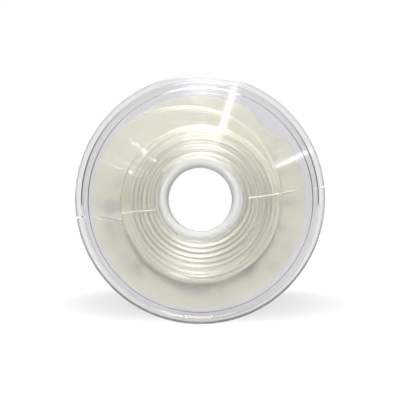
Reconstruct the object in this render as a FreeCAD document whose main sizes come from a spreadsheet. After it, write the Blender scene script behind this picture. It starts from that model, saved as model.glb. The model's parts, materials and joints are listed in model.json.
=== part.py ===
"""A flat clear spool of thick fishing line, standing on its rim.

The spool is three clear mouldings: a front flange and a rear flange, each with a half
sleeve that lines the bore, and a core tube that slides over both sleeves and carries the
line. The line is wound loosely, so its coil hangs a little low on the core, and its free
end springs outward in the groove. A round paper label sits in the recess of the rear
flange, on the outside.

Frame: origin at the centre of the bore, +Y along the bore from the front face to the rear
face, +X to the right as seen from the front, +Z up. Millimetres.
"""
import FreeCAD, Part
import Sketcher

import math
import os

V = FreeCAD.Vector
FRONT, REAR = -1, 1

SIZES = {
    # spool
    "spool_dia": 100.0,
    "spool_width": 16.0,
    "web_thick": 1.2,
    "lip_wide": 2.7,
    "lip_proud": 0.8,
    "lip_round": 0.6,
    "boss_wide": 4.95,
    "boss_round": 0.5,
    # bore and core
    "bore_dia": 26.5,
    "mouth_round": 1.9,
    "sleeve_wall": 1.3,
    "slip_gap": 0.05,
    "seam_gap": 0.1,
    "core_wall": 1.2,
    # line slits in the rims and the weld marks that run in from them
    "slit_wide": 0.6,
    "slit_deep": 2.0,
    "mark_wide": 0.5,
    "mark_deep": 0.15,
    "mark_margin": 1.2,
    "mark_right_deg": 5.5,
    "mark_left_deg": 188.7,
    # line
    "line_dia": 1.6,
    "coil_dia": 65.2,
    "coil_gap": 0.4,
    "coil_shift": 0.2,
    "coil_sag": 2.0,
    "coil_round": 0.7,
    # label
    "label_rim": 2.2,
    "label_margin": 2.6,
    "label_thick": 0.15,
    "label_left": 0.8,
    "label_low": 1.3,
    "bite_dia": 46.0,
    "bite_deep": 3.1,
    "bite_deg": 48.0,
    "bite_round": 6.0,
}

# The route of the free end, from inside the coil's outer layer to its cut tip.
TAIL_ROUTE = [
    (30.6, 0.6, -9.4),
    (32.9, 0.8, -2.3),
    (32.9, 1.0, 5.8),
    (30.6, 1.3, 13.6),
    (26.9, 1.6, 21.0),
    (22.2, 1.9, 27.4),
    (15.7, 2.2, 32.4),
    (8.3, 2.4, 36.0),
    (0.0, 2.6, 38.2),
    (-8.8, 2.6, 38.4),
    (-18.9, 2.6, 36.6),
    (-28.3, 2.5, 33.1),
]
ARC_SHARE = 0.45


def make_sheet(doc):
    """Put the driving sizes in a spreadsheet, one aliased cell each."""
    sheet = doc.addObject("Spreadsheet::Sheet", "dims")
    for row, (alias, value) in enumerate(SIZES.items(), start=1):
        sheet.set("A%d" % row, alias)
        sheet.set("B%d" % row, str(value))
        sheet.setAlias("B%d" % row, alias)
    doc.recompute()
    return sheet


def origin_plane(body, role):
    return next(f for f in body.Origin.OriginFeatures if f.Role == role)


def dims(text):
    """Turn the words in angle brackets into the sheet's aliases."""
    for alias in sorted(SIZES, key=len, reverse=True):
        text = text.replace("<%s>" % alias, "dims." + alias)
    return text


def amount(item, text):
    """What an expression on the sheet's words comes to."""
    return float(item.evalExpression(dims(text)))


def bind(target, name, text):
    target.setExpression(name, dims(text))


def add_sketch(body, name, role, lift=None):
    """Start a sketch on one of the body's own origin planes, lifted along its normal."""
    sketch = body.newObject("Sketcher::SketchObject", name)
    sketch.AttachmentSupport = [(origin_plane(body, role), "")]
    sketch.MapMode = "FlatFace"
    if lift:
        bind(sketch, "AttachmentOffset.Base.z", lift)
    return sketch


def place_point(sketch, geo, end, x_text, y_text):
    """Hold one end of a piece of geometry at a place given by two expressions."""
    for kind, text in (("DistanceX", x_text), ("DistanceY", y_text)):
        value = amount(sketch, text)
        index = sketch.addConstraint(Sketcher.Constraint(kind, -1, 1, geo, end, value))
        bind(sketch, "Constraints[%d]" % index, text)


def draw_outline(sketch, corners):
    """Draw a closed outline of straight sides through corners given by expressions."""
    spots = [V(amount(sketch, x), amount(sketch, y), 0) for x, y in corners]
    count = len(corners)
    first = sketch.GeometryCount
    for i in range(count):
        sketch.addGeometry(Part.LineSegment(spots[i], spots[(i + 1) % count]))
    for i, (x_text, y_text) in enumerate(corners):
        sketch.addConstraint(
            Sketcher.Constraint("Coincident", first + (i - 1) % count, 2, first + i, 1)
        )
        place_point(sketch, first + i, 1, x_text, y_text)


def draw_circle(sketch, x_text, y_text, radius_text):
    centre = V(amount(sketch, x_text), amount(sketch, y_text), 0)
    radius = amount(sketch, radius_text)
    geo = sketch.addGeometry(Part.Circle(centre, V(0, 0, 1), radius))
    place_point(sketch, geo, 3, x_text, y_text)
    index = sketch.addConstraint(Sketcher.Constraint("Radius", geo, radius))
    bind(sketch, "Constraints[%d]" % index, radius_text)


def ring_edges(shape, rings):
    """Names of the full circles round the Y axis at the given (radius, y) places."""
    names = []
    for number, edge in enumerate(shape.Edges, start=1):
        if not isinstance(edge.Curve, Part.Circle):
            continue
        for radius, y in rings:
            if abs(edge.Curve.Radius - radius) < 1e-4 and abs(edge.Curve.Center.y - y) < 1e-4:
                names.append("Edge%d" % number)
    if len(names) != len(rings):
        raise RuntimeError("expected %d ring edges, found %d" % (len(rings), len(names)))
    return names


def add_fillet(body, base, name, edges, radius_text):
    fillet = body.newObject("PartDesign::Fillet", name)
    fillet.Base = (base, edges)
    fillet.Radius = amount(body, radius_text)
    bind(fillet, "Radius", radius_text)
    body.Document.recompute()
    return fillet


def check_cut(base, cut):
    """Stop if a cut took nothing away."""
    if not cut.Shape.Volume < base.Shape.Volume - 1e-3:
        raise RuntimeError(cut.Name + " cut nothing")


def mark_corners(angle, inner, outer, wide):
    """Corners of a thin radial strip at an angle, between two radii."""
    ends = ((inner, "-"), (outer, "-"), (outer, "+"), (inner, "+"))
    corners = []
    for radius, sign in ends:
        flip = "+" if sign == "-" else "-"
        along = "(%s) * cos(<%s> * 1 deg) %s <%s> / 2 * sin(<%s> * 1 deg)"
        across = "(%s) * sin(<%s> * 1 deg) %s <%s> / 2 * cos(<%s> * 1 deg)"
        corners.append(
            (
                along % (radius, angle, flip, wide, angle),
                across % (radius, angle, sign, wide, angle),
            )
        )
    return corners


def make_flange(doc, name, label, side):
    """One flange: web, rim lip, hub boss and the half sleeve that lines the bore."""
    body = doc.addObject("PartDesign::Body", name)
    body.Label = label
    sign = "-1" if side == FRONT else "1"
    face = sign + " * (<spool_width> / 2)"
    web_out = sign + " * (<spool_width> / 2 - <lip_proud>)"
    web_in = sign + " * (<spool_width> / 2 - <lip_proud> - <web_thick>)"
    seam = sign + " * <seam_gap> / 2"
    rim, lip_in = "<spool_dia> / 2", "<spool_dia> / 2 - <lip_wide>"
    boss, bore = "<bore_dia> / 2 + <boss_wide>", "<bore_dia> / 2"
    sleeve = "<bore_dia> / 2 + <sleeve_wall>"

    profile = add_sketch(body, name + "_profile", "XY_Plane")
    draw_outline(
        profile,
        [
            (bore, seam),
            (sleeve, seam),
            (sleeve, web_in),
            (rim, web_in),
            (rim, face),
            (lip_in, face),
            (lip_in, web_out),
            (boss, web_out),
            (boss, face),
            (bore, face),
        ],
    )
    turned = body.newObject("PartDesign::Revolution", name + "_turned")
    turned.Profile = profile
    turned.ReferenceAxis = (profile, ["V_Axis"])
    turned.Angle = 360
    doc.recompute()

    def at(radius, y):
        return amount(body, radius), amount(body, y)

    mouth = add_fillet(
        body, turned, name + "_mouth", ring_edges(turned.Shape, [at(bore, face)]),
        "<mouth_round>",
    )
    boss_edge = add_fillet(
        body, mouth, name + "_boss_edge", ring_edges(mouth.Shape, [at(boss, face)]),
        "<boss_round>",
    )
    lip_rings = [at(rim, web_in), at(rim, face), at(lip_in, face)]
    lip_edge = add_fillet(
        body, boss_edge, name + "_lip_edge", ring_edges(boss_edge.Shape, lip_rings),
        "<lip_round>",
    )

    slits = add_sketch(body, name + "_slit_sketch", "XZ_Plane")
    for angle in ("mark_right_deg", "mark_left_deg"):
        draw_outline(
            slits, mark_corners(angle, rim + " - <slit_deep>", rim + " + 1", "slit_wide")
        )
    slit_cut = body.newObject("PartDesign::Pocket", name + "_slits")
    slit_cut.Profile = slits
    slit_cut.Type = "ThroughAll"
    slit_cut.Midplane = True
    doc.recompute()
    check_cut(lip_edge, slit_cut)

    lift = "<spool_width> / 2 - <lip_proud>"
    marks = add_sketch(
        body, name + "_mark_sketch", "XZ_Plane", lift if side == FRONT else "-(%s)" % lift
    )
    for angle in ("mark_right_deg", "mark_left_deg"):
        inner, outer = boss + " + <mark_margin>", lip_in + " - <mark_margin>"
        draw_outline(marks, mark_corners(angle, inner, outer, "mark_wide"))
    mark_cut = body.newObject("PartDesign::Pocket", name + "_marks")
    mark_cut.Profile = marks
    mark_cut.Reversed = side == REAR
    bind(mark_cut, "Length", "<mark_deep>")
    doc.recompute()
    check_cut(slit_cut, mark_cut)
    body.Tip = mark_cut
    return body


def make_core(doc):
    """The core tube over both half sleeves, seated on the rear flange."""
    body = doc.addObject("PartDesign::Body", "core")
    body.Label = "hub_core"
    inner = "<bore_dia> / 2 + <sleeve_wall> + <slip_gap>"
    outer = inner + " + <core_wall>"
    rear = "<spool_width> / 2 - <lip_proud> - <web_thick>"
    front = "-(%s - <slip_gap>)" % rear
    profile = add_sketch(body, "core_profile", "XY_Plane")
    draw_outline(profile, [(inner, front), (outer, front), (outer, rear), (inner, rear)])
    turned = body.newObject("PartDesign::Revolution", "core_turned")
    turned.Profile = profile
    turned.ReferenceAxis = (profile, ["V_Axis"])
    turned.Angle = 360
    body.Tip = turned
    return body


def make_winding(doc):
    """The closed outer shape of the wound line: a ring that hangs low on the core."""
    body = doc.addObject("PartDesign::Body", "coil")
    body.Label = "line_winding"
    inner = "<bore_dia> / 2 + <sleeve_wall> + <slip_gap> + <core_wall> + <coil_gap>"
    outer = "<coil_dia> / 2"
    outline = add_sketch(body, "coil_outline", "XZ_Plane")
    draw_circle(outline, "<coil_shift>", "-<coil_sag>", outer)
    draw_circle(outline, "0", "0", inner)
    ring = body.newObject("PartDesign::Pad", "coil_ring")
    ring.Profile = outline
    ring.Midplane = True
    bind(ring, "Length", "<spool_width> - 2 * (<lip_proud> + <web_thick> + <coil_gap>)")
    doc.recompute()
    half = ring.Length.Value / 2
    rings = [(amount(body, outer), -half), (amount(body, outer), half)]
    body.Tip = add_fillet(
        body, ring, "coil_eased", ring_edges(ring.Shape, rings), "<coil_round>"
    )
    return body


def rounded_route(points):
    """Straight runs joined by tangent arcs, each as large as its two runs allow."""
    points = [V(*p) for p in points]
    edges, start, radii = [], points[0], []
    for before, corner, after in zip(points, points[1:], points[2:]):
        come, leave = corner - before, after - corner
        run = min(come.Length, leave.Length)
        turn = come.getAngle(leave)
        radii.append(ARC_SHARE * run / math.tan(turn / 2))
        enter = corner - V(come).normalize() * (ARC_SHARE * run)
        depart = corner + V(leave).normalize() * (ARC_SHARE * run)
        chord_mid = (enter + depart) / 2
        centre_way = V(chord_mid - corner).normalize()
        centre = corner + centre_way * (radii[-1] / math.cos(turn / 2))
        middle = centre - centre_way * radii[-1]
        edges.append(Part.LineSegment(start, enter).toShape())
        edges.append(Part.Arc(enter, middle, depart).toShape())
        start = depart
    edges.append(Part.LineSegment(start, points[-1]).toShape())
    print("tail arc radii", ", ".join("%.1f" % r for r in radii))
    return Part.Wire(edges)


def make_tail(doc, sheet):
    """The free end of the line, a round tube along its route."""
    path = rounded_route(TAIL_ROUTE)
    radius = sheet.get("line_dia") / 2
    start, ahead = V(*TAIL_ROUTE[0]), V(*TAIL_ROUTE[1]) - V(*TAIL_ROUTE[0])
    ring = Part.Wire(Part.Circle(start, ahead, radius).toShape())
    tube = path.makePipeShell([ring], True, False)
    expected = math.pi * radius**2 * path.Length
    print("tail length %.2f, volume %.3f of %.3f" % (path.Length, tube.Volume, expected))
    if abs(tube.Volume - expected) > 0.01 * expected:
        raise RuntimeError("the tail's tube has lost its section")
    tail = doc.addObject("Part::Feature", "tail")
    tail.Shape = tube
    tail.Label = "line_tail"
    return tail


def spread(point):
    """Distance of a point from the Y axis."""
    return math.hypot(point.x, point.z)


def make_label(doc):
    """The round paper label, with a wave cut into its upper right edge."""
    body = doc.addObject("PartDesign::Body", "label")
    body.Label = "rear_label"
    left, low = "-<label_left>", "-<label_low>"
    outer = "(<spool_dia> / 2 - <lip_wide> - <label_rim>)"
    hole = "<bore_dia> / 2 + <boss_wide> + <label_margin>"
    lift = "-(<spool_width> / 2 - <lip_proud>)"
    outline = add_sketch(body, "label_outline", "XZ_Plane", lift)
    draw_circle(outline, left, low, outer)
    draw_circle(outline, left, low, hole)
    pad = body.newObject("PartDesign::Pad", "label_sheet")
    pad.Profile = outline
    pad.Reversed = True
    bind(pad, "Length", "<label_thick>")
    doc.recompute()
    reach = "(%s - <bite_deep> + <bite_dia> / 2)" % outer
    bite = add_sketch(body, "label_bite_outline", "XZ_Plane", lift)
    draw_circle(
        bite,
        "%s + %s * cos(<bite_deg> * 1 deg)" % (left, reach),
        "%s + %s * sin(<bite_deg> * 1 deg)" % (low, reach),
        "<bite_dia> / 2",
    )
    cut = body.newObject("PartDesign::Pocket", "label_bite")
    cut.Profile = bite
    cut.Type = "ThroughAll"
    cut.Midplane = True
    doc.recompute()
    check_cut(pad, cut)
    centre = V(amount(body, left), 0, amount(body, low))
    radius = amount(body, outer)
    cusps = [
        "Edge%d" % number
        for number, edge in enumerate(cut.Shape.Edges, start=1)
        if len(edge.Vertexes) == 2
        and all(abs(spread(v.Point - centre) - radius) < 1e-3 for v in edge.Vertexes)
        and isinstance(edge.Curve, Part.Line)
    ]
    body.Tip = add_fillet(body, cut, "label_wave", cusps, "<bite_round>")
    return body


def check_document(doc, nodes):
    """Stop on any failed object, or any sub-part without one sound solid."""
    for item in doc.Objects:
        if "Invalid" in item.State or "Error" in item.State:
            raise RuntimeError("%s is in state %s" % (item.Name, item.State))
    for node in nodes:
        shape = node.Shape
        if shape.isNull() or not shape.isValid() or len(shape.Solids) != 1:
            raise RuntimeError(node.Label + " isn't one valid solid")
        box = shape.BoundBox
        print(
            "%-14s volume %9.2f  x %7.2f %7.2f  y %6.2f %6.2f  z %7.2f %7.2f"
            % (node.Label, shape.Volume, box.XMin, box.XMax, box.YMin, box.YMax,
               box.ZMin, box.ZMax)
        )


def main():
    doc = FreeCAD.newDocument("fishing_line_spool")
    sheet = make_sheet(doc)
    nodes = [
        make_flange(doc, "front", "front_flange", FRONT),
        make_flange(doc, "rear", "rear_flange", REAR),
        make_core(doc),
        make_winding(doc),
        make_tail(doc, sheet),
        make_label(doc),
    ]
    doc.recompute()
    check_document(doc, nodes)
    os.makedirs("parts", exist_ok=True)
    for node in nodes:
        node.Shape.exportStep("parts/%s.step" % node.Label)


main()
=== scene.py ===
# %% [markdown]
# # A flat clear spool of thick fishing line
# The spool is three clear mouldings with a loosely wound line between them. Clear plastic
# has almost no colour of its own: what shows is light bent at its edges and reflected on
# its faces. So the shapes are built as true closed walls, fine enough to bend light well.

# %% Load the frame
import json
import math
import random

import bmesh
import bpy
from mathutils import Matrix, Vector


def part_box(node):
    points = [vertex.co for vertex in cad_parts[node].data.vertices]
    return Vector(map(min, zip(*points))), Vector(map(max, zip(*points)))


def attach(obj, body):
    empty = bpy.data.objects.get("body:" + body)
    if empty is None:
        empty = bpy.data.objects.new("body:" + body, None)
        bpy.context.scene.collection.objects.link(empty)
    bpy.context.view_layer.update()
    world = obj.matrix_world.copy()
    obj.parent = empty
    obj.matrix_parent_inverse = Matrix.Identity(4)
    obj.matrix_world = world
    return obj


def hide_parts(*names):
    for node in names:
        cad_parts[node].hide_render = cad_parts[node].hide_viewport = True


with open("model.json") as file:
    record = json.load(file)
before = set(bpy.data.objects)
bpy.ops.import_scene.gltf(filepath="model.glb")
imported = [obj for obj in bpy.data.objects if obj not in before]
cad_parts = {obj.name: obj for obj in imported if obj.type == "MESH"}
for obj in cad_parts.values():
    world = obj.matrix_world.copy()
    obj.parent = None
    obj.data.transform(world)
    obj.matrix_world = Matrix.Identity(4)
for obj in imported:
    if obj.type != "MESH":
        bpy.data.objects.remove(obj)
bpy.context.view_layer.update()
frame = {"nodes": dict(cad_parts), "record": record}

MM = 0.001
TURN = 2 * math.pi

# %% [markdown]
# ## Sizes
# A spool's pieces fit each other, so their looks have to keep the design's sizes. They
# could be typed in again, but then the two would drift apart. Here they are read from the
# boxes of the CAD pieces, and only finishing details, such as a rounding, are named.

# %% Sizes from the frame
front_low, front_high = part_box("front_flange")
rear_low, rear_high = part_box("rear_flange")
core_low, core_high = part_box("hub_core")
coil_low, coil_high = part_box("line_winding")
label_low, label_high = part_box("rear_label")
bore_mount = next(m for m in frame["record"]["mounts"] if m["name"] == "bore")

RIM = front_high.x
FACE = rear_high.y
WEB_OUT = label_low.y
WEB_IN = core_high.y
SEAM = rear_low.y
CORE_R = core_high.x
BORE = bore_mount["dims"]["r_mm"] * MM
COIL_X = (coil_low.x + coil_high.x) / 2
COIL_Z = (coil_low.z + coil_high.z) / 2
COIL_R = (coil_high.x - coil_low.x) / 2
COIL_HALF = (coil_high.y - coil_low.y) / 2
LINE = 1.6 * MM
COIL_GAP = 0.4 * MM
print("rim", RIM, "bore", BORE, "core", CORE_R, "coil", COIL_R, COIL_X, COIL_Z)

# %% [markdown]
# ## The camera
# The camera stands level with the spool and nearly on its axis. A long lens far away
# would flatten the spool into one disc. This one is close, so the rear rim looks a
# twentieth smaller than the front one and both rims show.

# %% Camera
CAMERA_REACH = 278 * MM
CAMERA_AZIMUTH = math.radians(0.9)
CAMERA_ELEVATION = math.radians(-1.5)
FOCAL = 60.9
SENSOR = 36
NEAREST = 10 * MM
FRAME_SHIFT = -0.00225


def make_camera():
    data = bpy.data.cameras.new("camera")
    data.lens = FOCAL
    data.sensor_width = SENSOR
    data.clip_start = NEAREST
    data.shift_y = FRAME_SHIFT
    camera = bpy.data.objects.new("camera", data)
    bpy.context.scene.collection.objects.link(camera)
    level = math.cos(CAMERA_ELEVATION)
    back = Vector(
        (
            math.sin(CAMERA_AZIMUTH) * level,
            -math.cos(CAMERA_AZIMUTH) * level,
            math.sin(CAMERA_ELEVATION),
        )
    )
    camera.location = back * CAMERA_REACH
    camera.rotation_euler = (-back).to_track_quat("-Z", "Y").to_euler()
    bpy.context.scene.camera = camera
    print("camera at", tuple(round(c, 4) for c in camera.location))


make_camera()

# %% [markdown]
# ## The line
# Nylon line is one long thread, so it is one spline from its start on the core to its
# cut tip. Stacked rings would look the same from afar, but they would have no length and
# no end. The thread runs back and forth between the flanges, layer over layer, and
# because it is stiff it never lies quite still: each turn strays a little, the turns hang
# low on the core, and the last one springs away from the coil.

# %% How the turns lie
LAYERS = 9
TURNS_WIDE = 7
POINTS_PER_TURN = 20
LAYER_STEP = 0.12
BULGE, BULGE_RIGHT = 1.2 * MM, 0.5 * MM
WANDER_INSIDE, WANDER_OUTSIDE = 0.1 * MM, 0.32 * MM
WANDER_GROWTH = 1.5
WANDER_SIDEWAYS = 0.25 * MM
SPREAD = 0.97
SPRING = 0.7 * MM
SPRING_TURNS = 1.15
SPRING_FADE = 0.2

# %% [markdown]
# Each turn's stray is a sum of slow sine waves along the thread. Noise at every point
# would make the thread shiver. Slow waves bend it the way that stiff nylon bends.

# %% The wander of the turns
random.seed(7)
STRAY_RATES = (0.37, 0.61, 0.83, 1.27, 1.71, 2.3)
STRAY = [(rate, random.uniform(0, TURN), random.uniform(0, TURN)) for rate in STRAY_RATES]


def smooth(t):
    t = min(max(t, 0.0), 1.0)
    return t * t * (3 - 2 * t)


def stray(turn, which):
    """A slow wander between about -1 and 1 along the thread."""
    waves = [math.sin(TURN * rate * turn + phases[which]) for rate, *phases in STRAY]
    return sum(waves) / 3


# %% Where the coil starts and ends
def coil_edge(angle):
    """How far the coil's outer edge is from the bore's axis in this direction."""
    along = COIL_X * math.cos(angle) + COIL_Z * math.sin(angle)
    across = COIL_X * math.sin(angle) - COIL_Z * math.cos(angle)
    return along + math.sqrt(COIL_R**2 - across**2)


def core_edge(angle):
    """Where the first layer lies: close above and below the core, bulging at its sides."""
    side = math.cos(angle)
    return CORE_R + COIL_GAP + (BULGE + BULGE_RIGHT * side) * side**2


# %% One place on the wound thread
def wound_point(turn, turns):
    """The thread's place after so many turns of all its turns."""
    layers_done = turn / turns * LAYERS
    layer = min(int(layers_done), LAYERS - 1)
    within = layers_done - layer
    rise = smooth((within - 1 + LAYER_STEP) / LAYER_STEP) if layer < LAYERS - 1 else 0
    angle = TURN * turn
    depth = (layer + rise + 0.5) / LAYERS
    inner, outer = core_edge(angle), coil_edge(angle)
    radius = inner + depth * (outer - inner)
    radius += (WANDER_INSIDE + WANDER_OUTSIDE * depth**WANDER_GROWTH) * stray(turn, 0)
    left = turns - turn
    sprung = smooth(SPRING_TURNS - left) * smooth(left / SPRING_FADE)
    radius += (outer - LINE / 2 + SPRING - radius) * sprung
    sideways = (2 * within - 1) * (1 if layer % 2 else -1)
    reach = COIL_HALF - LINE / 2
    y = sideways * reach * SPREAD + WANDER_SIDEWAYS * stray(turn, 1)
    y = min(max(y, -reach), reach)
    return Vector((radius * math.cos(angle), y, radius * math.sin(angle)))


# %% [markdown]
# The free end's points are listed here, the same ones as the tube in the design. The
# wound turns end where the free end begins, a little before the three o'clock side.

# %% The whole thread
TAIL_ROUTE = [
    (30.6, 0.6, -9.4),
    (32.9, 0.8, -2.3),
    (32.9, 1.0, 5.8),
    (30.6, 1.3, 13.6),
    (26.9, 1.6, 21.0),
    (22.2, 1.9, 27.4),
    (15.7, 2.2, 32.4),
    (8.3, 2.4, 36.0),
    (0.0, 2.6, 38.2),
    (-8.8, 2.6, 38.4),
    (-18.9, 2.6, 36.6),
    (-28.3, 2.5, 33.1),
]
FIRST_POINT = 3
EASE_TURNS = 1.2


def line_points():
    """The wound turns and then the free end, which they ease sideways to meet."""
    tail = [Vector(p) * MM for p in TAIL_ROUTE]
    turns = LAYERS * TURNS_WIDE - 1 + math.atan2(tail[0].z, tail[0].x) / TURN
    count = int(turns * POINTS_PER_TURN)
    wound = []
    for i in range(FIRST_POINT, count - 1):
        turn = turns * i / count
        point = wound_point(turn, turns)
        left = (turns - turn) / EASE_TURNS
        point.y += (tail[0].y - point.y) * smooth(1 - left)
        wound.append(point)
    print("turns", round(turns, 2), "and a free end of", len(tail), "points")
    return wound + tail


# %% [markdown]
# The spline's points are read first as a bare line, though nothing uses them, and then it is
# given a round section. Its bend across the section is shaded smooth, and only its cut tip stays
# sharp.

# %% The thread's mesh
SPLINE_STEPS = 3
ROUND_STEPS = 3
TIP_SHARP = math.radians(60)


def spline_mesh(spline_data):
    """The mesh that Blender makes of a curve as it now stands."""
    thread = bpy.data.objects.new("thread", spline_data)
    mesh = bpy.data.meshes.new_from_object(thread)
    bpy.data.objects.remove(thread)
    return mesh


def thread_curve(points):
    data = bpy.data.curves.new("thread", "CURVE")
    data.dimensions = "3D"
    spline = data.splines.new("NURBS")
    spline.points.add(len(points) - 1)
    for target, point in zip(spline.points, points):
        target.co = (*point, 1)
    spline.order_u = 3
    spline.use_endpoint_u = True
    spline.resolution_u = SPLINE_STEPS
    return data


def make_line():
    points = line_points()
    data = thread_curve(points)
    path = [tuple(v.co) for v in spline_mesh(data).vertices]
    data.bevel_depth = LINE / 2
    data.bevel_resolution = ROUND_STEPS
    data.use_fill_caps = True
    bm = bmesh.new()
    bm.from_mesh(spline_mesh(data))
    bmesh.ops.remove_doubles(bm, verts=bm.verts, dist=1e-7)
    mesh = bpy.data.meshes.new("fishing_line")
    bm.to_mesh(mesh)
    bm.free()
    mesh.shade_smooth()
    mesh.set_sharp_from_angle(angle=TIP_SHARP)
    line = bpy.data.objects.new("fishing_line", mesh)
    bpy.context.scene.collection.objects.link(line)
    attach(line, "line")
    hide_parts("line_winding", "line_tail")
    return line


fishing_line = make_line()

# %% [markdown]
# ## Clear mouldings
# Each flange is a disc with a lip, a raised boss and a half sleeve that lines the bore. It
# could be joined from cylinders, but every seam would show through clear plastic. So it is
# turned like a wheel: one outline spun round the bore's axis, with its ring edges bevelled
# afterwards. A spin keeps the wall closed, and the bevels give the rounded edges that bend
# light into thin dark and bright rings.

# %% Turned shapes
STEPS = 480
SAME = 1e-6


def place(bm, name, body, slot, replaced):
    """Make the finished mesh an object that rides on its CAD body."""
    mesh = bpy.data.meshes.new(name)
    bm.to_mesh(mesh)
    bm.free()
    piece = bpy.data.objects.new(name, mesh)
    bpy.context.scene.collection.objects.link(piece)
    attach(piece, body)
    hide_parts(replaced)
    return piece


def ring_of(bm, radius, y):
    """The ring edges that lie at this radius and this place along the bore."""
    def on(v):
        return abs(math.hypot(v.co.x, v.co.z) - radius) < SAME and abs(v.co.y - y) < SAME
    return [e for e in bm.edges if on(e.verts[0]) and on(e.verts[1])]


def spin_outline(corners):
    """Spin a closed outline of (radius, place along the bore) corners round the bore."""
    bm = bmesh.new()
    verts = [bm.verts.new((radius, y, 0)) for radius, y in corners]
    edges = [bm.edges.new(pair) for pair in zip(verts, verts[1:] + verts[:1])]
    bmesh.ops.spin(
        bm, geom=verts + edges, cent=(0, 0, 0), axis=(0, 1, 0), angle=TURN,
        steps=STEPS, use_merge=True,
    )
    bmesh.ops.remove_doubles(bm, verts=bm.verts, dist=1e-7)
    bmesh.ops.recalc_face_normals(bm, faces=bm.faces)
    return bm


def round_ring(bm, radius, y, size, segments):
    bmesh.ops.bevel(
        bm, geom=ring_of(bm, radius, y), offset=size, offset_type="OFFSET",
        segments=segments, profile=0.5, affect="EDGES", material=-1,
    )


# %% The flanges
LIP_WIDE = 2.7 * MM
BOSS_WIDE = 4.95 * MM
SLEEVE = 1.3 * MM
MOUTH_ROUND = 1.9 * MM
EDGE_ROUND = 0.5 * MM
LIP_ROUND = 0.6 * MM
STEP_ROUND = 0.38 * MM
PAPER_GAP = 0.02 * MM


def make_flange(name, body, replaced, side):
    lip_in = RIM - LIP_WIDE
    boss = BORE + BOSS_WIDE
    web_out = WEB_OUT - PAPER_GAP
    outline = [
        (BORE, side * SEAM),
        (BORE + SLEEVE, side * SEAM),
        (BORE + SLEEVE, side * WEB_IN),
        (RIM, side * WEB_IN),
        (RIM, side * FACE),
        (lip_in, side * FACE),
        (lip_in, side * web_out),
        (boss, side * web_out),
        (boss, side * FACE),
        (BORE, side * FACE),
    ]
    bm = spin_outline(outline)
    round_ring(bm, BORE, side * FACE, MOUTH_ROUND, 8)
    round_ring(bm, boss, side * FACE, EDGE_ROUND, 4)
    for y in (WEB_IN, FACE):
        round_ring(bm, RIM, side * y, LIP_ROUND, 5)
    for y in (FACE, web_out):
        round_ring(bm, lip_in, side * y, STEP_ROUND, 4)
    return place(bm, name, body, "clear_plastic", replaced)


# %% [markdown]
# ## Slits and weld marks
# Two slits in each rim grip the line's end, and fine weld marks run over the web where the
# molten plastic met. A bump would not show in clear plastic from both sides, so both are
# cut as real grooves. The faces inside a weld mark are then marked as frosted, because the
# plastic is a little cloudy there.

# %% Cutters
SLITS = (math.radians(5.5), math.radians(188.7))
SLIT_WIDE, SLIT_DEEP = 0.6 * MM, 2.0 * MM
WELD_WIDE = 0.32 * MM
WELD_LINES = (
    ((19.5, 0.1), (39.0, 3.3)),
    ((-42.0, -7.3), (-31.2, -9.8)),
    ((-32.0, -5.9), (-17.2, -4.3)),
)
V_GROOVE = TURN / 8
BARELY = MM / 1000


def add_bar(bm, start, end, y, wide, deep, roll=0.0):
    """A straight bar from start to end, at this place along the bore."""
    start, end = Vector((start[0], 0, start[1])), Vector((end[0], 0, end[1]))
    run = end - start
    size = Matrix.Diagonal((run.length, deep, wide, 1))
    turn = Matrix.Rotation(-math.atan2(run.z, run.x), 4, "Y") @ Matrix.Rotation(roll, 4, "X")
    middle = Matrix.Translation((start + end) / 2 + Vector((0, y, 0)))
    bmesh.ops.create_cube(bm, size=1, matrix=middle @ turn @ size)


def marks_cutter(side):
    """All the bars that one flange's slits and weld marks are cut with."""
    bm = bmesh.new()
    for angle in SLITS:
        ends = [(r * math.cos(angle), r * math.sin(angle)) for r in (RIM - SLIT_DEEP, RIM + MM)]
        add_bar(bm, *ends, 0, SLIT_WIDE, 4 * FACE)
    for start, end in WELD_LINES:
        start, end = ([c * MM for c in point] for point in (start, end))
        add_bar(bm, start, end, side * (WEB_OUT - PAPER_GAP), WELD_WIDE, WELD_WIDE, V_GROOVE)
    mesh = bpy.data.meshes.new("cutter")
    bm.to_mesh(mesh)
    bm.free()
    cutter = bpy.data.objects.new("cutter", mesh)
    bpy.context.scene.collection.objects.link(cutter)
    return cutter


# %% Cutting and marking
def cut_marks(piece, side):
    cutter = marks_cutter(side)
    cut = piece.modifiers.new("slits", "BOOLEAN")
    cut.object, cut.operation, cut.solver = cutter, "DIFFERENCE", "EXACT"
    bpy.context.view_layer.update()
    evaluated = piece.evaluated_get(bpy.context.evaluated_depsgraph_get())
    finished = bpy.data.meshes.new_from_object(evaluated)
    piece.modifiers.remove(cut)
    piece.data = finished
    bpy.data.objects.remove(cutter)
    frosted = finished.attributes.new("frosted", "FLOAT", "FACE")
    for face in finished.polygons:
        sunk = WEB_OUT - PAPER_GAP - side * face.center.y
        frosted.data[face.index].value = 1.0 if BARELY < sunk < WELD_WIDE else 0.0


# %% Smooth shading and both flanges
CORNER = math.radians(35)


def smooth_shade(piece):
    """Smooth across the bevels, sharp at real corners, with flat faces kept flat."""
    piece.data.shade_smooth()
    piece.data.set_sharp_from_angle(angle=CORNER)
    flat = piece.modifiers.new("flat faces", "WEIGHTED_NORMAL")
    flat.keep_sharp = True


front_flange = make_flange("front_flange_moulding", "front", "front_flange", -1)
rear_flange = make_flange("rear_flange_moulding", "spool", "rear_flange", 1)
for piece, side in ((front_flange, -1), (rear_flange, 1)):
    cut_marks(piece, side)
    smooth_shade(piece)
    print(piece.name, len(piece.data.polygons), "faces")

# %% [markdown]
# ## The core tube
# The line is wound on a short tube that both half sleeves plug into. It is little seen
# under the turns, but light passes through it to the bore, so it is a real wall as well,
# turned in the same way from a plain box outline with its edges just broken.

# %% The core
CORE_WALL = 1.2 * MM
CORE_EDGE = 0.15 * MM


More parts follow.
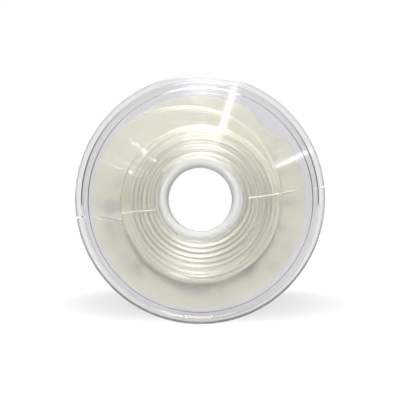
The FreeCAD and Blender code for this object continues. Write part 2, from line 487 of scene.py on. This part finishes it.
def make_core():
    inner = CORE_R - CORE_WALL
    bm = spin_outline([
        (inner, core_low.y), (CORE_R, core_low.y), (CORE_R, core_high.y), (inner, core_high.y),
    ])
    for radius in (inner, CORE_R):
        for y in (core_low.y, core_high.y):
            round_ring(bm, radius, y, CORE_EDGE, 2)
    core = place(bm, "core_tube", "spool", "clear_plastic", "hub_core")
    smooth_shade(core)
    print(core.name, len(core.data.polygons), "faces")
    return core


core = make_core()
label = frame["nodes"]["rear_label"]

# %% [markdown]
# ## Materials
# A material's sums could be built by linking Math nodes one by one, which is long and hard
# to read. Instead a small class wraps a socket, and each operator adds the Math node that
# does it, so a sum reads like plain Python.

# %% Shader sums
class Value:
    """A socket that can be added, subtracted, multiplied and divided."""

    def __init__(self, tree, socket):
        self.tree, self.socket = tree, socket

    def maths(self, operation, *others):
        inputs = dict(enumerate((self,) + others))
        return self.tree.add("ShaderNodeMath", inputs, operation=operation)

    def __add__(self, other):
        return self.maths("ADD", other)

    def __sub__(self, other):
        return self.maths("SUBTRACT", other)

    def __mul__(self, other):
        return self.maths("MULTIPLY", other)

    def __truediv__(self, other):
        return self.maths("DIVIDE", other)

    def __rsub__(self, other):
        return self.tree.number(other).maths("SUBTRACT", self)

    __radd__, __rmul__ = __add__, __mul__

    def sine(self):
        return self.maths("SINE")

    def root(self):
        return self.maths("SQRT")

    def power(self, n):
        return self.maths("POWER", n)

    def most(self, other):
        return self.maths("MAXIMUM", other)


# %% Node trees
class Tree:
    """A material's or a world's nodes, emptied and built anew."""

    def __init__(self, owner, output):
        self.owner = owner
        owner.use_nodes = True
        self.nodes, self.links = owner.node_tree.nodes, owner.node_tree.links
        self.nodes.clear()
        self.output = self.nodes.new(output)

    def add(self, kind, inputs=None, out=0, **settings):
        """Any node: its type, its settings and the values or links of its sockets."""
        node = self.nodes.new(kind)
        for key, value in settings.items():
            setattr(node, key, value)
        for key, value in (inputs or {}).items():
            if isinstance(value, Value):
                self.links.new(value.socket, node.inputs[key])
            else:
                node.inputs[key].default_value = value
        return Value(self, node.outputs[out])

    def number(self, x):
        return self.add("ShaderNodeMath", {0: x, 1: 0.0}, operation="ADD")

    def split(self, vector):
        """A vector's x, y and z."""
        parts = self.add("ShaderNodeSeparateXYZ", {0: vector}).socket.node.outputs
        return [Value(self, parts[i]) for i in range(3)]

    def place(self):
        """Object coordinates, whole and split into x, y and z."""
        where = self.add("ShaderNodeTexCoord", out="Object")
        return where, *self.split(where)

    def noise(self, where, scale, detail=2.0, rough=0.5):
        return self.add(
            "ShaderNodeTexNoise",
            {"Vector": where, "Scale": scale, "Detail": detail, "Roughness": rough},
            out="Fac",
        )

    def mix(self, factor, a, b):
        """One colour at 0 and the other at 1."""
        return self.add("ShaderNodeMix", {0: factor, 6: a, 7: b}, out=2, data_type="RGBA")

    def blend(self, factor, a, b):
        """One shader at 0 and the other at 1."""
        return self.add("ShaderNodeMixShader", {0: factor, 1: a, 2: b})

    def ramp(self, value, low, high):
        """0 at low, 1 at high, eased between."""
        return self.add(
            "ShaderNodeMapRange",
            {"Value": value, "From Min": low, "From Max": high},
            interpolation_type="SMOOTHSTEP",
        )

    def ray(self, kind):
        return self.add("ShaderNodeLightPath", out=kind)

    def bent_ray(self):
        """1 for light that has come off or through something glossy."""
        return self.ray("Is Glossy Ray").most(self.ray("Is Transmission Ray"))

    def surface(self, shader):
        self.links.new(shader.socket, self.output.inputs["Surface"])


# %% Finishes and colours
class Finish(Tree):
    """One material, shown on its pieces."""

    def __init__(self, name):
        super().__init__(bpy.data.materials.new(name), "ShaderNodeOutputMaterial")

    def show(self, shader, *pieces):
        self.surface(shader)
        for piece in pieces:
            piece.data.materials.clear()
            piece.data.materials.append(self.owner)
            print(self.owner.name, "on", piece.name)

    def show_clear(self, shader, tint, *pieces):
        """A clear finish, whose shadow lets light through, since glass alone casts a dark one."""
        clear = self.add("ShaderNodeBsdfTransparent", {"Color": grey(tint)})
        self.show(self.blend(self.ray("Is Shadow Ray"), shader, clear), *pieces)


def rgb(r, g, b):
    return (r, g, b, 1.0)


def grey(level):
    return rgb(level, level, level)


# %% [markdown]
# ## Clear polystyrene
# The flanges are glass-clear, faintly violet plastic. Glass alone would be too clean, so
# the finish adds what such mouldings show. Painted shade darkens the grazing edges and
# the rim's outline on its low side. The hub's wall is hazy. The web's face keeps fine
# rings from the turned mould, and a thin leaning gloss stands for them, which draws a
# lamp out into a radial streak.

# %% Where the clear plastic changes
HUB_ZONE = (16.5 * MM, 18.5 * MM)
WEB_ZONE = (18.5 * MM, 21.5 * MM)
# The edge, outline and low zones and the outline's strength place painted shade.
PAINTED_EDGE_ZONE = (18 * MM, 40 * MM)
WALL_ZONE = (BORE + 1.9 * MM, BORE + 3.2 * MM)
PAINTED_OUTLINE_ZONE = (RIM - 1.2 * MM, RIM - 0.6 * MM)
PAINTED_SHADE_LOW_ZONE = (-45 * MM, 10 * MM)
PAINTED_OUTLINE_SHADE = 0.7
HUB_ROUGH = 0.30
HUB_HAZE = 0.80
FROST = 0.26
GROOVE = 0.45 * MM
GROOVE_SHARE = 0.03
RING_LEAN, RING_DEPTH = 0.43, 0.03


# %% Clear polystyrene
def plastic_glass(f, where, radius, z):
    """The clear body of the plastic, with painted shade at its grazing edges and along the rim's
    low side.
    """
    scuffs = f.noise(where, 900.0, 4.0, 0.6)
    hub = 1 - f.ramp(radius, *HUB_ZONE)
    rough = 0.02 + 0.05 * f.ramp(scuffs, 0.5, 0.8) + HUB_ROUGH * hub
    # Painted shade: dark at grazing edges, and a dark outline on the rim's low side.
    low = 1 - f.ramp(z, *PAINTED_SHADE_LOW_ZONE) * 0.9
    outline = f.ramp(radius, *PAINTED_OUTLINE_ZONE) * low
    painted_edge_shade = f.add("ShaderNodeLayerWeight", {"Blend": 0.5}, out="Facing")
    painted_edge_shade = (painted_edge_shade.power(3.0) * f.ramp(radius, *PAINTED_EDGE_ZONE)).most(outline * PAINTED_OUTLINE_SHADE)
    return f.add("ShaderNodeBsdfPrincipled", {
        "Base Color": f.mix(painted_edge_shade, rgb(0.885, 0.880, 0.893), grey(0.06)),
        "Roughness": rough,
        "IOR": 1.5,
        "Transmission Weight": 1.0,
    })


def ring_sheen(f, radius, x, z):
    """The gloss of the fine turned rings, leaning outwards from the bore."""
    outward = f.add("ShaderNodeCombineXYZ", {0: x / radius, 1: 0.0, 2: z / radius})
    wave = (radius * (TURN / GROOVE)).sine() * 0.5 + 0.5
    slope = wave * RING_DEPTH + RING_LEAN
    lean = f.add("ShaderNodeVectorMath", {0: outward, 3: slope}, operation="SCALE")
    straight = f.add("ShaderNodeNewGeometry", out="Normal")
    bent = f.add("ShaderNodeVectorMath", {0: straight, 1: lean}, operation="ADD")
    bent = f.add("ShaderNodeVectorMath", {0: bent}, operation="NORMALIZE")
    return f.add("ShaderNodeBsdfGlossy", {
        "Color": grey(0.9), "Roughness": 0.09, "Normal": bent,
    })


def clear_plastic():
    f = Finish("clear_polystyrene")
    where, x, y, z = f.place()
    radius = (x * x + z * z).root()
    web = f.ramp(radius, *WEB_ZONE)
    wall = (1 - f.ramp(radius, *WALL_ZONE)) * HUB_HAZE
    frost = f.add("ShaderNodeAttribute", out="Fac", attribute_name="frosted")
    haze = f.add("ShaderNodeBsdfDiffuse", {"Color": rgb(0.58, 0.58, 0.56)})
    scratch = f.add("ShaderNodeBsdfDiffuse", {"Color": rgb(0.92, 0.92, 0.90)})
    glass, sheen = plastic_glass(f, where, radius, z), ring_sheen(f, radius, x, z)
    ringed = f.blend(web * GROOVE_SHARE, glass, sheen)
    body = f.blend(frost * FROST, f.blend(wall, ringed, haze), scratch)
    f.show_clear(body, 0.93, front_flange, rear_flange)


clear_plastic()

# %% [markdown]
# ## The milky core
# The core is the same plastic, unpolished and hidden under the line, so it looks milky. A
# rough, only partly clear glass gives that with no noise, since no detail of it shows.


# %% Milky core
def milky_plastic():
    f = Finish("milky_core")
    glass = f.add("ShaderNodeBsdfPrincipled", {
        "Base Color": rgb(0.96, 0.96, 0.92),
        "Roughness": 0.25,
        "IOR": 1.5,
        "Transmission Weight": 0.7,
    })
    f.show_clear(glass, 0.8, core)


milky_plastic()

# %% [markdown]
# ## Nylon line
# Thick nylon is clear but faintly cream, and its skin shines. One turn is almost glass, and
# sixty of them are pale and streaked with light. A coat gives the shine, and it thins
# towards the outer turns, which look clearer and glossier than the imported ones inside.

# %% Nylon
OUTER_TURNS = (27.5 * MM, 31.5 * MM)


def nylon():
    f = Finish("nylon_line")
    where, x, y, z = f.place()
    cloud = f.noise(where, 60.0, 3.0)
    colour = f.mix(cloud, rgb(0.970, 0.965, 0.885), rgb(0.985, 0.98, 0.915))
    across, along = x - COIL_X, z - COIL_Z
    outer = f.ramp((across * across + along * along).root(), *OUTER_TURNS)
    rough = 0.13 + 0.05 * f.noise(where, 700.0, 2.0) - 0.10 * outer
    glass = f.add("ShaderNodeBsdfPrincipled", {
        "Base Color": colour,
        "Roughness": rough,
        "IOR": 1.53,
        "Transmission Weight": 0.88,
        "Coat Weight": 1 - 0.75 * outer,
        "Coat Roughness": 0.16,
        "Coat IOR": 2.0,
    })
    f.show_clear(glass, 0.93, fishing_line)


nylon()

# %% [markdown]
# ## Label paper
# The round label behind the spool is uncoated cream paper. What is printed on a real one
# isn't drawn: soft grey smudges in a ring stand for print that shows faintly through, and
# they grow stronger low down as painted shade under the coil. Fine fibre mottles the
# cream, and the border is a cooler grey.

# %% Label
LABEL_R = (label_high.x - label_low.x) / 2
LABEL_X = (label_high.x + label_low.x) / 2
LABEL_Z = label_low.z + LABEL_R
CREAM, PRINT_AND_SHADE_GREY = rgb(0.75, 0.74, 0.59), rgb(0.56, 0.575, 0.51)
FIBRE, BORDER = rgb(0.80, 0.79, 0.68), rgb(0.74, 0.735, 0.76)
SMUDGES_START, SMUDGES_END = (30 * MM, 34 * MM), (38 * MM, 46 * MM)
# The zone where the smudges grow stronger low down, as painted shade.
SMUDGE_SHADE_LOW_ZONE = (-10 * MM, 20 * MM)
BORDER_WIDE = 2.0 * MM


def paper():
    f = Finish("label_paper")
    where, x, y, z = f.place()
    radius = (x * x + z * z).root()
    blots = f.ramp(f.noise(where, 110.0, 1.5), 0.44, 0.66)
    ring = f.ramp(radius, *SMUDGES_START) * (1 - f.ramp(radius, *SMUDGES_END))
    # Painted shade under the coil: the smudges weigh more low down.
    low = 1 - f.ramp(z, *SMUDGE_SHADE_LOW_ZONE)
    fibre = f.noise(where, 2500.0, 2.0)
    tone = f.mix(blots * ring * (0.25 + 0.75 * low), CREAM, PRINT_AND_SHADE_GREY)
    tone = f.mix(fibre * 0.12, tone, FIBRE)
    across, along = x - LABEL_X, z - LABEL_Z
    from_middle = (across * across + along * along).root()
    border = f.ramp(from_middle, LABEL_R - BORDER_WIDE, LABEL_R)
    tone = f.mix(border * 0.6, tone, BORDER)
    f.show(f.add("ShaderNodeBsdfPrincipled", {"Base Color": tone, "Roughness": 0.75}), label)


paper()

# %% [markdown]
# ## The floor
# The spool stands on a white floor that fades into a white background, with a soft grey
# painted shadow behind it. Clear plastic shows whatever lies behind it, so the floor needs
# two looks: one for the camera, and one greyer with painted shade near the spool for light
# that comes through the plastic or off it. Without the second the rim would be lost in white.

# %% Floor
FLOOR = front_low.z
FLOOR_HALF = 6.0
# The painted shadow's middle behind the spool and its soft edge.
PAINTED_SHADOW_BACK = 68 * MM
PAINTED_SHADOW_ZONE = (35 * MM, 125 * MM)
FRONT_ZONE = (-300 * MM, -120 * MM)
BEHIND_ZONE = (-40 * MM, 30 * MM)
FAR_ZONE = (30 * MM, 300 * MM)


def floor_piece():
    bm = bmesh.new()
    bmesh.ops.create_grid(bm, x_segments=1, y_segments=1, size=FLOOR_HALF)
    bmesh.ops.translate(bm, verts=bm.verts, vec=(0, 0, FLOOR))
    mesh = bpy.data.meshes.new("floor")
    bm.to_mesh(mesh)
    bm.free()
    floor = bpy.data.objects.new("floor", mesh)
    bpy.context.scene.collection.objects.link(floor)
    return floor


def floor_through_plastic(f, y):
    """What the floor looks like by way of the plastic: grey painted shade near the spool and in
    front, white far behind.
    """
    front, behind, far = (f.ramp(y, *zone) for zone in (FRONT_ZONE, BEHIND_ZONE, FAR_ZONE))
    # Painted shade: grey near the spool and darker in front of it.
    painted_shade_near = f.mix(behind, f.mix(front, grey(0.10), grey(0.22)), grey(0.28))
    dull_with_painted_shade = f.mix(behind, f.mix(front, grey(0.10), grey(0.30)), grey(0.50))
    glow_with_painted_shade = f.add("ShaderNodeEmission", {"Color": f.mix(far, painted_shade_near, grey(1.0))})
    shade = f.add("ShaderNodeBsdfDiffuse", {"Color": f.mix(far, dull_with_painted_shade, grey(0.0))})
    return f.add("ShaderNodeAddShader", {0: shade, 1: glow_with_painted_shade})


def make_floor():
    floor = floor_piece()
    f = Finish("floor_white")
    where, x, y, z = f.place()
    # A soft grey painted shadow lies round a point behind the spool.
    beyond = y - PAINTED_SHADOW_BACK
    out_of_painted_shadow = f.ramp((x * x + beyond * beyond).root(), *PAINTED_SHADOW_ZONE)
    pale = f.add("ShaderNodeBsdfDiffuse", {"Color": grey(0.25)})
    glow_with_painted_shadow = f.add("ShaderNodeEmission", {"Color": f.mix(out_of_painted_shadow, grey(0.48), grey(1.0))})
    seen = f.add("ShaderNodeAddShader", {0: pale, 1: glow_with_painted_shadow})
    paint = f.add("ShaderNodeBsdfDiffuse", {"Color": grey(0.8)})
    indirect = f.blend(f.bent_ray(), paint, floor_through_plastic(f, y))
    f.show(f.blend(f.ray("Is Camera Ray"), indirect, seen), floor)


make_floor()

# %% [markdown]
# ## The studio
# A white room gives even light. Plain white on every side would leave the plastic with no
# edges at all, so light that comes by way of the plastic sees a room that is dark low
# down, pale above and white only straight behind the spool.

# %% World
BEHIND_SPOOL = (0.86, 0.975)
ABOVE = (0.20, 0.70)
SOFT_STRENGTH = 0.50


def make_world():
    world = bpy.data.worlds.new("studio")
    bpy.context.scene.world = world
    t = Tree(world, "ShaderNodeOutputWorld")
    x, y, z = t.split(t.add("ShaderNodeTexCoord", out="Generated"))
    behind = t.ramp(y, *BEHIND_SPOOL)
    above = t.ramp(z, *ABOVE)
    room = t.mix(behind, t.mix(above, grey(0.20), grey(0.95)), grey(1.0))
    soft = t.add("ShaderNodeBackground", {"Color": grey(1.0), "Strength": SOFT_STRENGTH})
    studio = t.add("ShaderNodeBackground", {"Color": room, "Strength": 1.0})
    white = t.add("ShaderNodeBackground", {"Color": grey(1.0), "Strength": 1.0})
    lit = t.blend(t.bent_ray(), soft, studio)
    t.surface(t.blend(t.ray("Is Camera Ray"), lit, white))
    print("world", world.name)


make_world()
bpy.context.scene.view_settings.view_transform = "Standard"

# %% [markdown]
# ## Lamps
# A key lamp in front and a broad one above light the spool. Five small ones in front give
# the streaks: each stands at an angle round the bore, far enough out for the leaning rings
# to mirror it towards the camera. Light has to pass many clear walls here, so the render
# is allowed more bounces than usual.

# %% Lamps
LAMP_AHEAD = 350 * MM
GLINT_TALL = 12 * MM
GLINTS = (
    (25, 547, 14, 0.03),
    (74, 528, 45, 0.045),
    (139, 532, 14, 0.035),
    (153, 541, 12, 0.012),
    (158, 538, 12, 0.012),
)
BOUNCES = 32


def make_lamp(name, place, size, power, tall=None):
    """A soft lamp, round or oval, that points at the spool's middle."""
    data = bpy.data.lights.new(name, "AREA")
    data.shape, data.size, data.energy = "ELLIPSE", size, power
    data.size_y = tall or size
    lamp = bpy.data.objects.new(name, data)
    bpy.context.scene.collection.objects.link(lamp)
    lamp.location = place
    lamp.rotation_euler = (-Vector(place)).to_track_quat("-Z", "Y").to_euler()


make_lamp("key", (0.01, -0.55, 0.235), 0.13, 1.95)
make_lamp("top", (0, -0.06, 0.40), 0.30, 1.5)
for angle, reach, size, power in GLINTS:
    turn = math.radians(angle)
    spot = (reach * MM * math.cos(turn), -LAMP_AHEAD, reach * MM * math.sin(turn))
    make_lamp("glint", spot, size * MM, power, GLINT_TALL)
cycles = bpy.context.scene.cycles
cycles.max_bounces = BOUNCES
cycles.transmission_bounces = BOUNCES
cycles.transparent_max_bounces = BOUNCES
print("lamps", len(bpy.data.lights))
